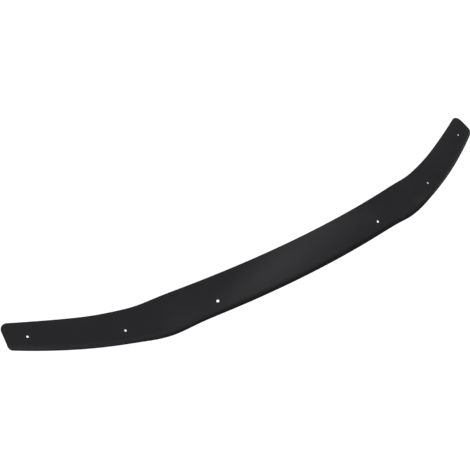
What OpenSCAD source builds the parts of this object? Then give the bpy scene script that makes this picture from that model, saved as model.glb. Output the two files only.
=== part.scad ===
// Wind and insect shield for the front edge of a vehicle hood: one moulded strip with a rolled
// lower lip, folded wings, rounded ends and six screw holes. All sizes in millimetres and degrees.
// It stands as fitted: the vehicle's front is -Y, its rear +Y and up +Z. The origin is the middle
// of the lower edge, on the outer face, and the plane X = 0 is the plane of symmetry.

/* [Overall] */
// Width between the ends of the upper edge
width = 1500; // [1400:10:1600]
// How much further each end of the lower edge reaches
tip_rake = 10.3; // [0:0.1:20]
// Thickness of the sheet
sheet = 3; // [2:0.5:4]
// Radius of the polished edges
edge_r = 1.2; // [0.5:0.1:1.5]
// Corner radius at the upper end of each tip
upper_corner_r = 16; // [6:1:18]
// Corner radius at the lower end of each tip
lower_corner_r = 14; // [6:1:22]

/* [Section] */
// How far the upper edge lies behind the lower edge, at the middle
lean_back = 55.3; // [40:0.1:70]
// How far the upper edge lies above the lower edge, at the middle
face_rise = 73; // [60:0.1:85]
// Height of the outward crown of the face
face_crown = 1.5; // [0:0.1:4]
// Width of the rolled lip along the lower edge
lip_w = 15; // [8:0.5:24]
// Angle through which the lip is rolled under
lip_turn = 35; // [10:1:42]

/* [Lower edge] */
// Radius of the bow, seen from above
lower_bow_r = 2670; // [2000:10:4000]
// Distance of the fold from the plane of symmetry
lower_fold_x = 445; // [420:1:480]
// Length over which the fold is softened
lower_fold_soft = 19; // [10:1:60]
// Turn towards the rear at the fold
lower_fold_back = 3.5; // [1:0.1:9]
// Turn upwards at the fold
lower_fold_up = 6; // [1:0.1:9]
// Radius of the wing beyond the fold, seen from above
lower_wing_plan_r = 2040; // [1600:10:6000]
// Radius of the wing beyond the fold, seen from the front
lower_wing_front_r = 2005; // [1400:5:4000]
// Depth of the shallow dip beside the fold
lower_dip = 7.7; // [0:0.1:10]
// Distance of the dip from the plane of symmetry
lower_dip_x = 397; // [370:1:420]
// Half of the length of the dip
lower_dip_half = 57; // [40:1:80]

/* [Upper edge] */
// Radius of the bow, seen from above
upper_bow_r = 2030; // [1600:10:3000]
// Radius of the crown, seen from the front
upper_crown_r = 8250; // [5000:50:12000]
// Distance of the fold from the plane of symmetry
upper_fold_x = 530; // [500:1:560]
// Length over which the fold is softened
upper_fold_soft = 55; // [20:1:90]
// Turn towards the rear at the fold
upper_fold_back = 2.8; // [1:0.1:6]
// Turn upwards at the fold
upper_fold_up = 14.7; // [8:0.1:18]
// Depth of the shallow dip beside the fold
upper_dip = 4.5; // [0:0.1:8]
// Distance of the dip from the plane of symmetry
upper_dip_x = 450; // [420:1:480]
// Half of the length of the dip
upper_dip_half = 51; // [40:1:80]

/* [Holes] */
// Diameter of the four outer screw holes
hole_d = 5.8; // [4:0.1:9]
// Width of the two inner slots
slot_w = 5.8; // [4:0.1:9]
// How much longer than wide the two inner slots are, so that the strip can grow with heat
slot_extra = 3; // [0.6:0.2:8]
// Distance of the outer holes from the ends, along X
outer_hole_in = 47; // [36:0.5:70]
// Distance from the outer holes to the middle ones, along X
outer_pitch = 205.5; // [170:0.5:230]
// Distance from the middle holes to the inner slots, along X
inner_pitch = 233.5; // [200:0.5:250]
// Height of the outer holes up the face
outer_hole_up = 34.5; // [30:0.5:40]
// Height of the middle holes up the face
mid_hole_up = 32.5; // [28:0.5:42]
// Height of the inner slots up the face
slot_up = 31.5; // [26:0.5:42]

/* [Hidden] */

// Stations from the plane of symmetry to the corner, rows up each face, and the angle between
// stations round a corner or rows round a polished edge
half_stations = 60;
// Below 1 this gathers the stations towards the dips and folds, about halfway out
station_gather = 0.4;
face_rows = 10;
// Above 1 this gathers the rows towards the lip
row_gather = 1.5;
corner_step = 15;
edge_step = 45;
// Small step along the rails by which their direction is measured
probe = 0.001;
// The edge rounding leaves a narrow flat in the middle of a thin sheet
flat_share = 0.1;
edge_round = min(edge_r, sheet * (1 - flat_share) / 2);
bore_fn = 64;
// Drills reach this far past both faces
drill_over = 4;

// Half the width, at the upper and at the lower edge
upper_half = width / 2;
lower_half = upper_half + tip_rake;

function unit(v) = v / norm(v);

// Distance covered past a softened fold, measured along X and nil at the plane of symmetry
function past_fold(x, at, soft) =
    let (d = abs(x) - at)
    (d + norm([d, soft])) / 2 - (norm([at, soft]) - at) / 2;

// Height of a shallow arc of the given radius at a run from its crown
function arc_height(run, radius) = run * run / (2 * radius);

// Depth of the dip beside a fold
function dip_at(x, depth, at, half) = depth * exp(-pow((abs(x) - at) / half, 2));

// The two rails that carry the section, at a share of the half width from -1 to 1
function lower_rail(share) =
    let (
        x = share * lower_half,
        past = past_fold(x, lower_fold_x, lower_fold_soft),
        y = arc_height(x, lower_bow_r) + past * tan(lower_fold_back)
            + arc_height(past, lower_wing_plan_r),
        z = past * tan(lower_fold_up) + arc_height(past, lower_wing_front_r)
            - dip_at(x, lower_dip, lower_dip_x, lower_dip_half)
    )
    [x, y, z];

function upper_rail(share) =
    let (
        x = share * upper_half,
        past = past_fold(x, upper_fold_x, upper_fold_soft),
        y = lean_back + arc_height(x, upper_bow_r) + past * tan(upper_fold_back),
        z = face_rise - arc_height(x, upper_crown_r) + past * tan(upper_fold_up)
            - dip_at(x, upper_dip, upper_dip_x, upper_dip_half)
    )
    [x, y, z];

// Length of strip per unit of share, as a vector, for each rail
function lower_run(share) = (lower_rail(share + probe) - lower_rail(share - probe)) / (2 * probe);
function upper_run(share) = (upper_rail(share + probe) - upper_rail(share - probe)) / (2 * probe);

// The straight line between the rails, from the lower to the upper edge
function chord(share) = upper_rail(share) - lower_rail(share);
function face_height(share) = norm(chord(share));
function along(share) = unit(lower_run(share) + upper_run(share));
function outward(share) = unit(cross(along(share), chord(share)));

// How far the outer face stands out from the chord, at a height up it: the rolled lip, then the
// gentle crown of the face, and the slope of both
lip_slope = tan(lip_turn);
function edge_slope(high) = lip_slope * (1 - lip_w / (2 * high));
function lip_out(up, high) =
    let (low = min(up, lip_w))
    edge_slope(high) * up - arc_height(low, lip_w / lip_slope) - max(up - lip_w, 0) * lip_slope;
function crown_out(up, high) = 4 * face_crown * up * (high - up) / (high * high);
function out_slope(up, high) =
    edge_slope(high) - lip_slope * min(up / lip_w, 1)
    + 4 * face_crown * (high - 2 * up) / (high * high);

// A point on the outer face, and the directions square to the sheet and up the sheet there
function face_point(share, up) =
    let (high = face_height(share))
    lower_rail(share) + unit(chord(share)) * up
    + outward(share) * (lip_out(up, high) + crown_out(up, high));
function face_normal(share, up) =
    unit(outward(share) - unit(chord(share)) * out_slope(up, face_height(share)));
function face_up(share, up) =
    unit(unit(chord(share)) + outward(share) * out_slope(up, face_height(share)));

// Angles between the edges and the end of the strip, and how far each corner arc reaches
upper_corner = acos(unit(upper_run(1)) * unit(chord(1)));
lower_corner = 180 - acos(unit(lower_run(1)) * unit(chord(1)));
upper_reach = upper_corner_r / tan(upper_corner / 2);
lower_reach = lower_corner_r / tan(lower_corner / 2);
corner_run = max(upper_reach, lower_reach);
tip_run = (norm(lower_run(1)) + norm(upper_run(1))) / 2;

// How far a corner arc cuts into the edge, at a run from the end of the strip
function corner_cut(run, radius, angle) =
    let (centre = radius / sin(angle), back = run - centre)
    run >= radius / tan(angle / 2) ? 0
    : centre - back * cos(angle) - sqrt(max(radius * radius - pow(back * sin(angle), 2), 0));

// How far a rounded edge falls back from the face, at a run from the edge
function edge_fall(run) =
    run >= edge_round ? 0
    : edge_round - sqrt(edge_round * edge_round - pow(edge_round - run, 2));

// Points round one half of a polished edge, between a face and the middle of the sheet
function edge_arc(centre, face_dir, edge_dir, turns) =
    [for (a = turns) centre + edge_round * (face_dir * cos(a) + edge_dir * sin(a))];

// One closed section of the strip: outer face upwards, upper edge, inner face downwards and
// lower edge, at a share of the half width and a run from the end
function section(share, run) =
    let (
        fall = edge_fall(run),
        low = corner_cut(run, lower_corner_r, lower_corner) + edge_round,
        high = face_height(share) - corner_cut(run, upper_corner_r, upper_corner) - edge_round,
        rise = [for (i = [0:face_rows]) low + (high - low) * pow(i / face_rows, row_gather)],
        fall_back = [for (i = [face_rows:-1:0]) rise[i]],
        turns = [for (a = [edge_step:edge_step:90]) a],
        back_turns = [for (a = [90:-edge_step:edge_step]) a],
        n_high = face_normal(share, high),
        n_low = face_normal(share, low),
        up_high = face_up(share, high),
        up_low = face_up(share, low),
        top = face_point(share, high),
        bottom = face_point(share, low),
        front = edge_round + fall,
        back = max(sheet - edge_round - fall, front)
    )
    concat(
        [for (up = rise) face_point(share, up) - face_normal(share, up) * fall],
        edge_arc(top - n_high * front, n_high, up_high, turns),
        edge_arc(top - n_high * back, -n_high, up_high, back_turns),
        [for (up = fall_back) face_point(share, up) - face_normal(share, up) * (sheet - fall)],
        edge_arc(bottom - n_low * back, -n_low, -up_low, turns),
        edge_arc(bottom - n_low * front, n_low, -up_low, back_turns)
    );

// Runs from the end at which the corner and the rounded end have their stations
tip_runs = concat(
    [for (a = [0:corner_step:90 - corner_step])
        edge_round + (corner_run - edge_round) * (1 - sin(a))],
    [for (a = [0:edge_step / 2:90]) edge_round * (1 - sin(a))]
);
inner_share = 1 - corner_run / tip_run;
left_stations = [for (i = [len(tip_runs) - 1:-1:1]) [tip_runs[i] / tip_run - 1, tip_runs[i]]];
middle_stations = [for (i = [-half_stations:half_stations])
    let (t = i / half_stations)
    [inner_share * (t + station_gather * sin(360 * t) / (2 * PI)), corner_run]];
right_stations = [for (i = [1:len(tip_runs) - 1]) [1 - tip_runs[i] / tip_run, tip_runs[i]]];
stations = concat(left_stations, middle_stations, right_stations);

// The moulded strip without its holes, lofted through its sections
module strip() {
    rings = [for (s = stations) section(s[0], s[1])];
    ring = len(rings[0]);
    last = len(rings) - 1;
    points = [for (r = rings, p = r) p];
    sides = [for (i = [0:last - 1], j = [0:ring - 1])
        let (a = i * ring + j, b = i * ring + (j + 1) % ring)
        for (t = [[a, b, b + ring], [a, b + ring, a + ring]]) t];
    ends = [[for (j = [ring - 1:-1:0]) j], [for (j = [0:ring - 1]) last * ring + j]];
    polyhedron(points, concat(sides, ends), convexity = 6);
}

// Share of the half width at which a hole at distance x from the plane of symmetry lies
function hole_share(x) = x / upper_half;

// Places children on the outer face, with Z outwards and X along the strip
module on_face(share, up) {
    n = face_normal(share, up);
    u = unit(cross(n, along(share)));
    x = cross(u, n);
    o = face_point(share, up);
    multmatrix([
        [x[0], u[0], n[0], o[0]],
        [x[1], u[1], n[1], o[1]],
        [x[2], u[2], n[2], o[2]],
        [0, 0, 0, 1]
    ]) children();
}

module round_hole() {
    translate([0, 0, -sheet - drill_over])
        cylinder(d = hole_d, h = sheet + 2 * drill_over, $fn = bore_fn);
}

module slot_hole() {
    depth = sheet + 2 * drill_over;
    translate([0, 0, -sheet - drill_over]) {
        for (side = [-1, 1])
            translate([side * slot_extra / 2, 0, 0]) cylinder(d = slot_w, h = depth, $fn = bore_fn);
        translate([-slot_extra / 2, -slot_w / 2, 0]) cube([slot_extra, slot_w, depth]);
    }
}

outer_hole_x = upper_half - outer_hole_in;
mid_hole_x = outer_hole_x - outer_pitch;
slot_x = mid_hole_x - inner_pitch;

module shield() {
    color([0.06, 0.06, 0.065])
        difference() {
            strip();
            for (side = [-1, 1]) {
                on_face(side * hole_share(outer_hole_x), outer_hole_up) round_hole();
                on_face(side * hole_share(mid_hole_x), mid_hole_up) round_hole();
                on_face(side * hole_share(slot_x), slot_up) slot_hole();
            }
        }
}

shield();
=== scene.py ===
"""Hood deflector strip: the moulded shield, its black acrylic and a plain studio.

The shield is made as the real one is. A flat blank gets its rounded outline, its thickness and its
polished edges, is formed over the two long edges of the mould, and is then drilled. All lengths are in
metres and all angles in degrees. The front of the vehicle is -Y and up is +Z.
"""
import logging
import math
from collections.abc import Callable, Iterator
from contextlib import contextmanager
from dataclasses import dataclass, field
from enum import Enum

import bmesh
import bpy
from mathutils import Matrix, Vector


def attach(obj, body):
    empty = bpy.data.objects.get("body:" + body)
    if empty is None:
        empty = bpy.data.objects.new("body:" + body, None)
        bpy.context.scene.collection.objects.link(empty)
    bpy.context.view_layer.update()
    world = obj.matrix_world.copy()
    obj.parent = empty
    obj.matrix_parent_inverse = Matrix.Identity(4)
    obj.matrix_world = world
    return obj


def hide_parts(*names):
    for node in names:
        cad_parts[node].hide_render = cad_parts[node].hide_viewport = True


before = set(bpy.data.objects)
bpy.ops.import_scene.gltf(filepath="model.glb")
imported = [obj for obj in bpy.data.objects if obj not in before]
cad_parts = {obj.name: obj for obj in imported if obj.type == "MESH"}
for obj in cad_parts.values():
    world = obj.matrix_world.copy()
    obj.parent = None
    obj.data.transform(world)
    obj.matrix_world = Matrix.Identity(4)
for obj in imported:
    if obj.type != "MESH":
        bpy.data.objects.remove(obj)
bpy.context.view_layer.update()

log = logging.getLogger("hood_shield")

# Lengths in metres that differ by less than this count as the same
SAME = 1e-5
# Name of the attribute that is 1 on the polished edges
POLISHED = "polished"


# Working with the operators


class Part(Enum):
    """What a selection is made of."""

    VERTEX = "VERT"
    EDGE = "EDGE"


class Axis(Enum):
    """A direction of the flat blank: along the strip or up its face."""

    ALONG = Vector((1, 0, 0))
    UP = Vector((0, 1, 0))


def take_only(obj: bpy.types.Object) -> None:
    """Leaves one object selected and active.

    Args:
        obj: The object that the next operators act on.
    """
    bpy.ops.object.select_all(action="DESELECT")
    obj.select_set(True)
    bpy.context.view_layer.objects.active = obj


@contextmanager
def editing(obj: bpy.types.Object) -> Iterator[None]:
    """Opens an object in edit mode for the lines under `with`.

    Args:
        obj: The mesh object to edit.

    Yields:
        Nothing; the mesh is in edit mode meanwhile.
    """
    take_only(obj)
    bpy.ops.object.mode_set(mode="EDIT")
    yield
    bpy.ops.object.mode_set(mode="OBJECT")


def select_where(obj: bpy.types.Object, part: Part, test: Callable[[object], bool]) -> None:
    """Selects the parts of a mesh in edit mode that pass a test, and no others.

    Args:
        obj: The object that is in edit mode.
        part: Whether vertices or edges are tested.
        test: Says whether one of them is to be selected.
    """
    bpy.ops.mesh.select_mode(type=part.value)
    bpy.ops.mesh.select_all(action="DESELECT")
    mesh = bmesh.from_edit_mesh(obj.data)
    for item in mesh.verts if part is Part.VERTEX else mesh.edges:
        item.select_set(test(item))
    mesh.select_flush_mode()
    bmesh.update_edit_mesh(obj.data)


def cut_across(axis: Axis, at: float) -> None:
    """Cuts the whole mesh in edit mode along a plane square to one axis.

    Args:
        axis: The direction that the plane is square to.
        at: Where the plane crosses that axis.
    """
    bpy.ops.mesh.select_all(action="SELECT")
    bpy.ops.mesh.bisect(plane_co=axis.value * at, plane_no=axis.value)


def apply_modifier(obj: bpy.types.Object, kind: str, **settings: object) -> None:
    """Adds a modifier to an object and applies it.

    Args:
        obj: The object.
        kind: The modifier's type, such as "BOOLEAN".
        settings: Values for the modifier's properties.
    """
    take_only(obj)
    modifier = obj.modifiers.new(kind.title(), kind)
    for name, value in settings.items():
        setattr(modifier, name, value)
    bpy.ops.object.modifier_apply(modifier=modifier.name)


# The form that the blank is moulded to


def arc_height(run: float, radius: float) -> float:
    """Height of a shallow arc of the given radius at a run from its crown."""
    return run * run / (2 * radius)


def tangent(angle: float) -> float:
    """Tangent of an angle in degrees."""
    return math.tan(math.radians(angle))


@dataclass(frozen=True)
class Fold:
    """The softened fold where a long edge turns back and up into the wing."""

    at: float
    soft: float
    back: float
    up: float

    def past(self, x: float) -> float:
        """Distance covered past the fold, measured along X and nil at the plane of symmetry.

        Args:
            x: Distance from the plane of symmetry, on either side.

        Returns:
            The distance, which grows smoothly from nil.
        """
        beyond = abs(x) - self.at
        level = (math.hypot(self.at, self.soft) - self.at) / 2
        return (beyond + math.hypot(beyond, self.soft)) / 2 - level


@dataclass(frozen=True)
class Dip:
    """The shallow dip of a long edge beside its fold."""

    depth: float
    at: float
    half: float

    def depth_at(self, x: float) -> float:
        """How deep the dip is at a distance from the plane of symmetry."""
        return self.depth * math.exp(-(((abs(x) - self.at) / self.half) ** 2))


@dataclass(frozen=True)
class LongEdge:
    """One long edge of the strip as a curve in space, followed by a share of it from -1 to 1."""

    half_width: float
    back: float
    rise: float
    bow_r: float
    crown_r: float
    fold: Fold
    dip: Dip
    wing_plan_r: float = math.inf
    wing_front_r: float = math.inf
    step: float = 0.001

    def at(self, share: float) -> Vector:
        """Point of the edge at a share of its half width.

        Args:
            share: From -1 at the right-hand end to 1 at the left-hand end.

        Returns:
            The point.
        """
        x = share * self.half_width
        past = self.fold.past(x)
        plan = arc_height(x, self.bow_r) + past * tangent(self.fold.back)
        front = past * tangent(self.fold.up) - arc_height(x, self.crown_r)
        return Vector((
            x,
            self.back + plan + arc_height(past, self.wing_plan_r),
            self.rise + front + arc_height(past, self.wing_front_r) - self.dip.depth_at(x),
        ))

    def run(self, share: float) -> Vector:
        """Length of edge per unit of share, as a vector along it."""
        return (self.at(share + self.step) - self.at(share - self.step)) / (2 * self.step)


@dataclass(frozen=True)
class Section:
    """Where the strip is cut across: its start on the lower edge, two directions and its height."""

    start: Vector
    rise: Vector
    out: Vector
    height: float


@dataclass(frozen=True)
class ShieldForm:
    """The moulded form: a lipped, crowned section carried along the lower and the upper edge."""

    lower: LongEdge
    upper: LongEdge
    crown: float
    lip_w: float
    lip_turn: float

    def along(self, share: float) -> Vector:
        """Direction along the strip, midway between its two edges."""
        return (self.lower.run(share) + self.upper.run(share)).normalized()

    def section(self, share: float) -> Section:
        """The section at a share of the half width.

        Args:
            share: From -1 to 1.

        Returns:
            The section's start, directions and height.
        """
        start = self.lower.at(share)
        chord = self.upper.at(share) - start
        out = self.along(share).cross(chord).normalized()
        return Section(start, chord.normalized(), out, chord.length)

    def face(self, share: float, up: float) -> tuple[Vector, Vector]:
        """Point on the outer face, and the direction square to the sheet there.

        Args:
            share: From -1 to 1, along the strip.
            up: Height up the section's chord.

        Returns:
            The point and the outward normal.
        """
        cut = self.section(share)
        lip_slope = tangent(self.lip_turn)
        edge_slope = lip_slope * (1 - self.lip_w / (2 * cut.height))
        on_lip = min(up, self.lip_w)
        above_lip = max(up - self.lip_w, 0)
        stands = edge_slope * up - arc_height(on_lip, self.lip_w / lip_slope) - above_lip * lip_slope
        stands += 4 * self.crown * up * (cut.height - up) / cut.height**2
        slope = edge_slope - lip_slope * min(up / self.lip_w, 1)
        slope += 4 * self.crown * (cut.height - 2 * up) / cut.height**2
        point = cut.start + cut.rise * up + cut.out * stands
        return point, (cut.out - cut.rise * slope).normalized()


# The shield


@dataclass(frozen=True)
class Corner:
    """A rounded corner of the blank, between a long edge and the end of the strip."""

    radius: float
    angle: float

    @property
    def reach(self) -> float:
        """How far the arc reaches along each side of the corner."""
        return self.radius / tangent(self.angle / 2)

    @property
    def profile(self) -> float:
        """Bevel profile that gives a true arc once the square blank's end is slanted."""
        half = math.radians(self.angle / 2)
        cut_off = self.radius / math.sin(half) - self.radius
        return (1 - cut_off / (2 * self.reach * math.cos(half))) ** 2


@dataclass(frozen=True)
class Hole:
    """A screw hole through the face, longer than wide where it is a slot."""

    x: float
    up: float
    width: float = 0.0058
    length: float = 0.0058


@dataclass
class Shield:
    """The strip of black acrylic, from flat blank to drilled shield."""

    form: ShieldForm
    sheet: float = 0.003
    edge_r: float = 0.0012
    upper_corner_r: float = 0.016
    lower_corner_r: float = 0.014
    holes: tuple[Hole, ...] = (
        Hole(x=0.703, up=0.0345),
        Hole(x=0.4975, up=0.0325),
        Hole(x=0.264, up=0.0315, length=0.0088),
    )
    corner_segments: int = 12
    edge_segments: int = 5
    rim_ease: float = 0.0003
    rim_angle: float = 60
    rim_segments: int = 3
    smooth_angle: float = 35
    broad_weight: int = 80
    station_gap: float = 0.005
    row_gap: float = 0.0014
    end_runs: tuple[float, ...] = (0.0225, 0.018, 0.0135, 0.0095, 0.006, 0.003)
    drill_over: float = 0.004
    drill_sides: int = 64
    name: str = "shield_strip"
    obj: bpy.types.Object = field(init=False, default=None)

    @property
    def end_height(self) -> float:
        """Height of the strip at its ends, which the blank has all along."""
        return self.form.section(1).height

    @property
    def half_run(self) -> float:
        """Half the length of the blank: real length at the ends, where the corners are."""
        return (self.form.lower.run(1).length + self.form.upper.run(1).length) / 2

    @property
    def corners(self) -> dict[str, Corner]:
        """The corner at the upper and at the lower end of each tip."""
        rise = self.form.section(1).rise
        upper = math.degrees(self.form.upper.run(1).angle(rise))
        lower = 180 - math.degrees(self.form.lower.run(1).angle(rise))
        return {
            "upper": Corner(self.upper_corner_r, upper),
            "lower": Corner(self.lower_corner_r, lower),
        }

    def build(self) -> bpy.types.Object:
        """Makes the shield's mesh.

        Returns:
            The finished object, at the origin.
        """
        self.cut_blank()
        self.round_edges()
        self.divide()
        self.mark_edges()
        self.mould()
        self.drill()
        self.ease_rims()
        self.smooth()
        return self.obj

    def cut_blank(self) -> None:
        """Cuts the flat blank with its four rounded corners and gives it its thickness."""
        height = self.end_height
        bpy.ops.object.select_all(action="DESELECT")
        bpy.ops.mesh.primitive_plane_add(size=1)
        self.obj = bpy.context.object
        self.obj.name = self.obj.data.name = self.name
        with editing(self.obj):
            bpy.ops.transform.resize(value=(2 * self.half_run, height, 1))
            bpy.ops.transform.translate(value=(0, height / 2, 0))
            for place, corner in self.corners.items():
                wanted = height if place == "upper" else 0
                select_where(
                    self.obj, Part.VERTEX,
                    lambda v: abs(v.co.y - wanted) < SAME and abs(abs(v.co.x) - self.half_run) < SAME,
                )
                bpy.ops.mesh.bevel(
                    offset=corner.reach, segments=self.corner_segments, profile=corner.profile,
                    affect="VERTICES", clamp_overlap=False,
                )
            bpy.ops.mesh.select_all(action="SELECT")
            bpy.ops.mesh.extrude_region_move(TRANSFORM_OT_translate={"value": (0, 0, -self.sheet)})
            bpy.ops.mesh.select_all(action="SELECT")
            bpy.ops.mesh.normals_make_consistent(inside=False)

    def round_edges(self) -> None:
        """Rounds both rims of the blank, which are polished on the real one."""
        with editing(self.obj):
            select_where(
                self.obj, Part.EDGE, lambda e: abs(e.verts[0].co.z - e.verts[1].co.z) < SAME
            )
            bpy.ops.mesh.bevel(offset=self.edge_r, segments=self.edge_segments, affect="EDGES")

    def divide(self) -> None:
        """Divides the blank into rows and stations, fine enough to follow the mould."""
        height, half = self.end_height, self.half_run
        free = 2 * self.edge_r
        rows = round((height - 2 * free) / self.row_gap)
        middle = half - self.end_runs[0]
        with editing(self.obj):
            for row in range(rows + 1):
                cut_across(Axis.UP, free + (height - 2 * free) * row / rows)
            for run in self.end_runs:
                cut_across(Axis.ALONG, half - run)
                cut_across(Axis.ALONG, run - half)
            select_where(
                self.obj, Part.EDGE, lambda e: abs(e.verts[0].co.x - e.verts[1].co.x) > middle
            )
            bpy.ops.mesh.subdivide_edgering(
                number_cuts=round(2 * middle / self.station_gap), interpolation="LINEAR",
                smoothness=0, profile_shape_factor=0,
            )

    def mark_edges(self) -> None:
        """Marks the points between the two faces of the blank, where its edges are polished."""
        mesh = self.obj.data
        marks = mesh.attributes.new(POLISHED, "FLOAT", "POINT").data
        for vertex, mark in zip(mesh.vertices, marks):
            mark.value = SAME < -vertex.co.z < self.sheet - SAME

    def mould(self) -> None:
        """Lays the blank over the form: every point keeps its share of the length and its depth.

        Towards the middle the strip is taller than the blank, so the face is drawn out there, evenly
        faded to nothing at both rims, whose rounding stays true.
        """
        low = self.end_height
        for vertex in self.obj.data.vertices:
            x, y, z = vertex.co
            share = x / self.half_run
            part = min(max(y / low, 0), 1)
            drawn = (self.form.section(share).height - low) * part * part * (3 - 2 * part)
            point, normal = self.form.face(share, y + drawn)
            vertex.co = point + normal * z
        self.obj.data.update()

    def place_of(self, hole: Hole, side: int) -> Matrix:
        """Place of a hole on the outer face.

        Args:
            hole: The hole.
            side: 1 for the left-hand half of the strip, -1 for the right-hand one.

        Returns:
            A matrix with Z out of the face and X along the strip.
        """
        share = side * hole.x / self.form.upper.half_width
        point, normal = self.form.face(share, hole.up)
        up = normal.cross(self.form.along(share)).normalized()
        turned = Matrix((up.cross(normal), up, normal)).transposed()
        return Matrix.Translation(point) @ turned.to_4x4()

    def drill(self) -> None:
        """Drills the holes square to the face, with one cutter for all of them."""
        cutters = [self.make_cutter(hole, side) for hole in self.holes for side in (-1, 1)]
        bpy.ops.object.select_all(action="DESELECT")
        for cutter in cutters:
            cutter.select_set(True)
        bpy.context.view_layer.objects.active = cutters[0]
        bpy.ops.object.join()
        apply_modifier(self.obj, "BOOLEAN", operation="DIFFERENCE", solver="EXACT", object=cutters[0])
        bpy.data.objects.remove(cutters[0], do_unlink=True)

    def make_cutter(self, hole: Hole, side: int) -> bpy.types.Object:
        """Makes the drill for one hole, drawn out along the strip for a slot.

        Args:
            hole: The hole.
            side: 1 for the left-hand half of the strip, -1 for the right-hand one.

        Returns:
            The cutter.
        """
        place = self.place_of(hole, side)
        along = place.col[0].to_3d()
        centre = place @ Vector((0, 0, -self.sheet / 2))
        bpy.ops.object.select_all(action="DESELECT")
        bpy.ops.mesh.primitive_cylinder_add(
            vertices=self.drill_sides, radius=hole.width / 2, depth=self.sheet + 2 * self.drill_over,
            location=centre, rotation=place.to_euler(),
        )
        cutter = bpy.context.object
        drawn = (hole.length - hole.width) / 2
        if drawn > 0:
            with editing(cutter):
                for way in (-1, 1):
                    select_where(cutter, Part.VERTEX, lambda v: v.co.x * way > SAME)
                    bpy.ops.transform.translate(value=along * way * drawn)
        return cutter

    def ease_rims(self) -> None:
        """Welds what the drilling left double and eases the rims of the holes, the last sharp edges."""
        with editing(self.obj):
            bpy.ops.mesh.select_mode(type=Part.EDGE.value)
            bpy.ops.mesh.select_all(action="SELECT")
            bpy.ops.mesh.remove_doubles(threshold=SAME)
            bpy.ops.mesh.select_all(action="DESELECT")
            bpy.ops.mesh.edges_select_sharp(sharpness=math.radians(self.rim_angle))
            bpy.ops.mesh.bevel(offset=self.rim_ease, segments=self.rim_segments, affect="EDGES")

    def smooth(self) -> None:
        """Shades the strip smooth, with the broad faces steering the normals."""
        take_only(self.obj)
        bpy.ops.object.shade_smooth_by_angle(angle=math.radians(self.smooth_angle))
        apply_modifier(self.obj, "WEIGHTED_NORMAL", keep_sharp=True, weight=self.broad_weight)

    def dress(self, finish: "BlackAcrylic") -> None:
        """Args:
            finish: The finish.
        """
        self.obj.data.materials.clear()
        self.obj.data.materials.append(finish.make())
        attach(self.obj, "root")
        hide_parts("shield")


# Finishes


@dataclass(frozen=True)
class BlackAcrylic:
    """Opaque black acrylic: satin gloss, polished edges, faint orange peel and forming waves."""

    deep: tuple[float, float, float] = (0.0037, 0.0037, 0.0052)
    worn: tuple[float, float, float] = (0.0049, 0.0049, 0.0065)
    ior: float = 1.49
    gloss_low: float = 0.20
    gloss_high: float = 0.25
    gloss_edge: float = 0.09
    cloud_scale: float = 14.0
    cloud_detail: float = 6
    cloud_low: float = 0.3
    cloud_high: float = 0.7
    wave_scale: float = 9.0
    wave_depth: float = 0.0006
    peel_scale: float = 420.0
    peel_depth: float = 0.000004
    grain_detail: float = 2

    def make(self) -> bpy.types.Material:
        """Builds the finish as shader nodes on Object coordinates and the mark of the polished edges.

        Returns:
            The material.
        """
        material = bpy.data.materials.new("black_acrylic")
        material.use_nodes = True
        nodes, links = material.node_tree.nodes, material.node_tree.links
        nodes.clear()
        output = nodes.new("ShaderNodeOutputMaterial")
        shader = nodes.new("ShaderNodeBsdfPrincipled")
        shader.inputs["IOR"].default_value = self.ior
        links.new(shader.outputs["BSDF"], output.inputs["Surface"])
        place = nodes.new("ShaderNodeTexCoord").outputs["Object"]

        clouds = nodes.new("ShaderNodeTexNoise")
        clouds.inputs["Scale"].default_value = self.cloud_scale
        clouds.inputs["Detail"].default_value = self.cloud_detail
        links.new(place, clouds.inputs["Vector"])
        colour = nodes.new("ShaderNodeMix")
        colour.data_type = "RGBA"
        colour.inputs["A"].default_value = (*self.deep, 1)
        colour.inputs["B"].default_value = (*self.worn, 1)
        links.new(clouds.outputs["Fac"], colour.inputs["Factor"])
        links.new(colour.outputs["Result"], shader.inputs["Base Color"])

        gloss = nodes.new("ShaderNodeMapRange")
        gloss.inputs["From Min"].default_value = self.cloud_low
        gloss.inputs["From Max"].default_value = self.cloud_high
        gloss.inputs["To Min"].default_value = self.gloss_low
        gloss.inputs["To Max"].default_value = self.gloss_high
        links.new(clouds.outputs["Fac"], gloss.inputs["Value"])
        edges = nodes.new("ShaderNodeAttribute")
        edges.attribute_name = POLISHED
        finish = nodes.new("ShaderNodeMix")
        finish.inputs["B"].default_value = self.gloss_edge
        links.new(edges.outputs["Fac"], finish.inputs["Factor"])
        links.new(gloss.outputs["Result"], finish.inputs["A"])
        links.new(finish.outputs["Result"], shader.inputs["Roughness"])

        bump = None
        for scale, depth in ((self.wave_scale, self.wave_depth), (self.peel_scale, self.peel_depth)):
            grain = nodes.new("ShaderNodeTexNoise")
            grain.inputs["Scale"].default_value = scale
            grain.inputs["Detail"].default_value = self.grain_detail
            links.new(place, grain.inputs["Vector"])
            dent = nodes.new("ShaderNodeBump")
            dent.inputs["Distance"].default_value = depth
            links.new(grain.outputs["Fac"], dent.inputs["Height"])
            if bump:
                links.new(bump.outputs["Normal"], dent.inputs["Normal"])
            bump = dent
        links.new(bump.outputs["Normal"], shader.inputs["Normal"])
        return material


@dataclass(frozen=True)
class PaleFloor:
    """The floor's matt, nearly white paint."""

    shade: float = 0.92

    def make(self) -> bpy.types.Material:
        """Builds the finish.

        Returns:
            The material.
        """
        material = bpy.data.materials.new("pale_floor")
        material.use_nodes = True
        shader = material.node_tree.nodes["Principled BSDF"]
        shader.inputs["Base Color"].default_value = (self.shade, self.shade, self.shade, 1)
        shader.inputs["Roughness"].default_value = 1
        shader.inputs["Specular IOR Level"].default_value = 0
        return material


# The studio


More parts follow.
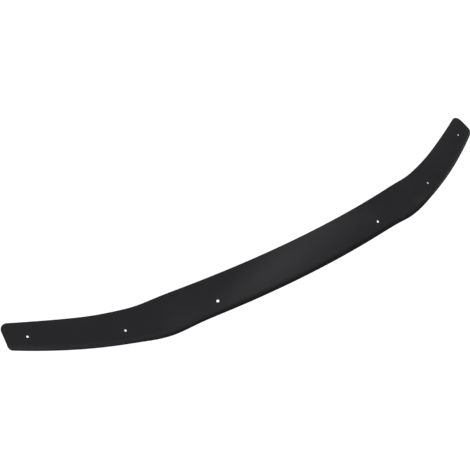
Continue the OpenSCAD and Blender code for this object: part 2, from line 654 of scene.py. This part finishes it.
@dataclass(frozen=True)
class SoftBox:
    """A large soft lamp that faces the middle of the strip."""

    name: str
    azimuth: float
    elevation: float
    width: float
    height: float
    glow: float
    distance: float = 12.0

    def hang(self) -> bpy.types.Object:
        """Hangs the lamp.

        Returns:
            The lamp's object.
        """
        back = direction(self.azimuth, self.elevation)
        turned = back.to_track_quat("Z", "Y").to_euler()
        bpy.ops.object.select_all(action="DESELECT")
        bpy.ops.object.light_add(type="AREA", location=back * self.distance, rotation=turned)
        lamp = bpy.context.object
        lamp.name = self.name
        lamp.data.shape = "RECTANGLE"
        lamp.data.size, lamp.data.size_y = self.width, self.height
        lamp.data.energy = self.glow * math.pi * self.width * self.height
        lamp.visible_camera = False
        return lamp


def direction(azimuth: float, elevation: float) -> Vector:
    """Unit vector from the object towards a viewer.

    Args:
        azimuth: 0 for a viewer in front, who looks along +Y, and 90 for one who looks along -X.
        elevation: Angle above the horizon.

    Returns:
        The vector.
    """
    a, e = math.radians(azimuth), math.radians(elevation)
    return Vector((math.sin(a) * math.cos(e), -math.cos(a) * math.cos(e), math.sin(e)))


@dataclass
class Studio:
    """A pale floor under the strip, soft lamps round it, and the camera where the picture was taken."""

    floor_drop: float = 0.85
    floor_size: float = 60.0
    room_glow: float = 1.1
    mirrored_room: tuple[tuple[float, float], ...] = (
        (-1.0, 0.5), (-0.6, 0.3), (-0.24, 0.105), (-0.087, 0.105), (0.363, 0.278),
    )
    lamps: tuple[SoftBox, ...] = (
        SoftBox("key", azimuth=46, elevation=34.6, width=5.65, height=2.1, glow=0.49),
        SoftBox("front", azimuth=-12.5, elevation=24, width=31.9, height=12.2, glow=0.184),
        SoftBox("low_left", azimuth=88, elevation=2.2, width=11.5, height=0.9, glow=1.2),
        SoftBox("lip", azimuth=-11, elevation=21, width=2.2, height=0.85, glow=1.45),
        SoftBox("top", azimuth=47.6, elevation=70, width=29.8, height=10.4, glow=0.115),
        SoftBox("rear_left", azimuth=140, elevation=35, width=6, height=4, glow=0.5),
        SoftBox("rear_right", azimuth=-140, elevation=20, width=6, height=6, glow=0.4),
    )
    camera_azimuth: float = -41.32657
    camera_elevation: float = 32.0
    camera_distance: float = 3.208
    camera_aim: tuple[float, float, float] = (-0.24118, 0.0, 0.21045)
    lens: float = 109.488

    def build(self) -> None:
        """Sets up floor, room, lamps and camera."""
        self.lay_floor()
        self.light_room()
        for lamp in self.lamps:
            lamp.hang()
        self.stand_camera()

    def lay_floor(self) -> None:
        """Lays the floor well below the strip, which hangs where the hood would hold it."""
        bpy.ops.object.select_all(action="DESELECT")
        bpy.ops.mesh.primitive_plane_add(size=self.floor_size, location=(0, 0, -self.floor_drop))
        floor = bpy.context.object
        floor.name = "floor"
        floor.data.materials.append(PaleFloor().make())
        floor.visible_glossy = False

    def light_room(self) -> None:
        """Fills the room with even white light, and gives the gloss a dimmer room to mirror.

        A white room would grey black plastic all over. As round a real set, the gloss sees the lamps,
        dim walls, the dark far side of the floor and its pale part right below. `mirrored_room` holds
        the height of each on the sphere of directions, from -1 to 1, and its glow.
        """
        world = bpy.data.worlds.new("room")
        bpy.context.scene.world = world
        world.use_nodes = True
        nodes, links = world.node_tree.nodes, world.node_tree.links
        nodes.clear()
        white = nodes.new("ShaderNodeBackground")
        white.inputs["Strength"].default_value = self.room_glow
        white.inputs["Color"].default_value = (1, 1, 1, 1)
        height = nodes.new("ShaderNodeSeparateXYZ")
        links.new(nodes.new("ShaderNodeTexCoord").outputs["Generated"], height.inputs["Vector"])
        share = nodes.new("ShaderNodeMapRange")
        share.inputs["From Min"].default_value = -1
        links.new(height.outputs["Z"], share.inputs["Value"])
        walls = nodes.new("ShaderNodeValToRGB")
        walls.color_ramp.interpolation = "EASE"
        stops = walls.color_ramp.elements
        while len(stops) < len(self.mirrored_room):
            stops.new(0)
        for stop, (level, glow) in zip(stops, self.mirrored_room):
            stop.position = (level + 1) / 2
            stop.color = (glow, glow, glow, 1)
        links.new(share.outputs["Result"], walls.inputs["Fac"])
        dim = nodes.new("ShaderNodeBackground")
        links.new(walls.outputs["Color"], dim.inputs["Color"])
        choice = nodes.new("ShaderNodeMixShader")
        links.new(nodes.new("ShaderNodeLightPath").outputs["Is Glossy Ray"], choice.inputs["Fac"])
        links.new(white.outputs["Background"], choice.inputs[1])
        links.new(dim.outputs["Background"], choice.inputs[2])
        output = nodes.new("ShaderNodeOutputWorld")
        links.new(choice.outputs["Shader"], output.inputs["Surface"])
        bpy.context.scene.view_settings.view_transform = "Standard"

    def stand_camera(self) -> None:
        """Stands the camera at the picture's viewing angle."""
        back = direction(self.camera_azimuth, self.camera_elevation)
        place = Vector(self.camera_aim) + back * self.camera_distance
        turned = (-back).to_track_quat("-Z", "Y").to_euler()
        bpy.ops.object.camera_add(location=place, rotation=turned)
        camera = bpy.context.object
        camera.name = "camera"
        camera.data.lens = self.lens
        bpy.context.scene.camera = camera


SHIELD_FORM = ShieldForm(
    lower=LongEdge(
        half_width=0.7603, back=0, rise=0, bow_r=2.67, crown_r=math.inf,
        fold=Fold(at=0.445, soft=0.019, back=3.5, up=6),
        dip=Dip(depth=0.0077, at=0.397, half=0.057),
        wing_plan_r=2.04, wing_front_r=2.005,
    ),
    upper=LongEdge(
        half_width=0.75, back=0.0553, rise=0.073, bow_r=2.03, crown_r=8.25,
        fold=Fold(at=0.53, soft=0.055, back=2.8, up=14.7),
        dip=Dip(depth=0.0045, at=0.45, half=0.051),
    ),
    crown=0.0015,
    lip_w=0.015,
    lip_turn=35,
)


def main() -> None:
    """Builds the strip, dresses it and sets up the studio round it."""
    logging.basicConfig(level=logging.INFO, format="%(name)s: %(message)s")
    shield = Shield(SHIELD_FORM)
    strip = shield.build()
    shield.dress(BlackAcrylic())
    faces, drilled = len(strip.data.polygons), 2 * len(shield.holes)
    log.info("%s: %d faces, drilled %d times", strip.name, faces, drilled)
    Studio().build()
    log.info("studio: floor, lamps and camera")


if __name__ == "__main__":
    main()
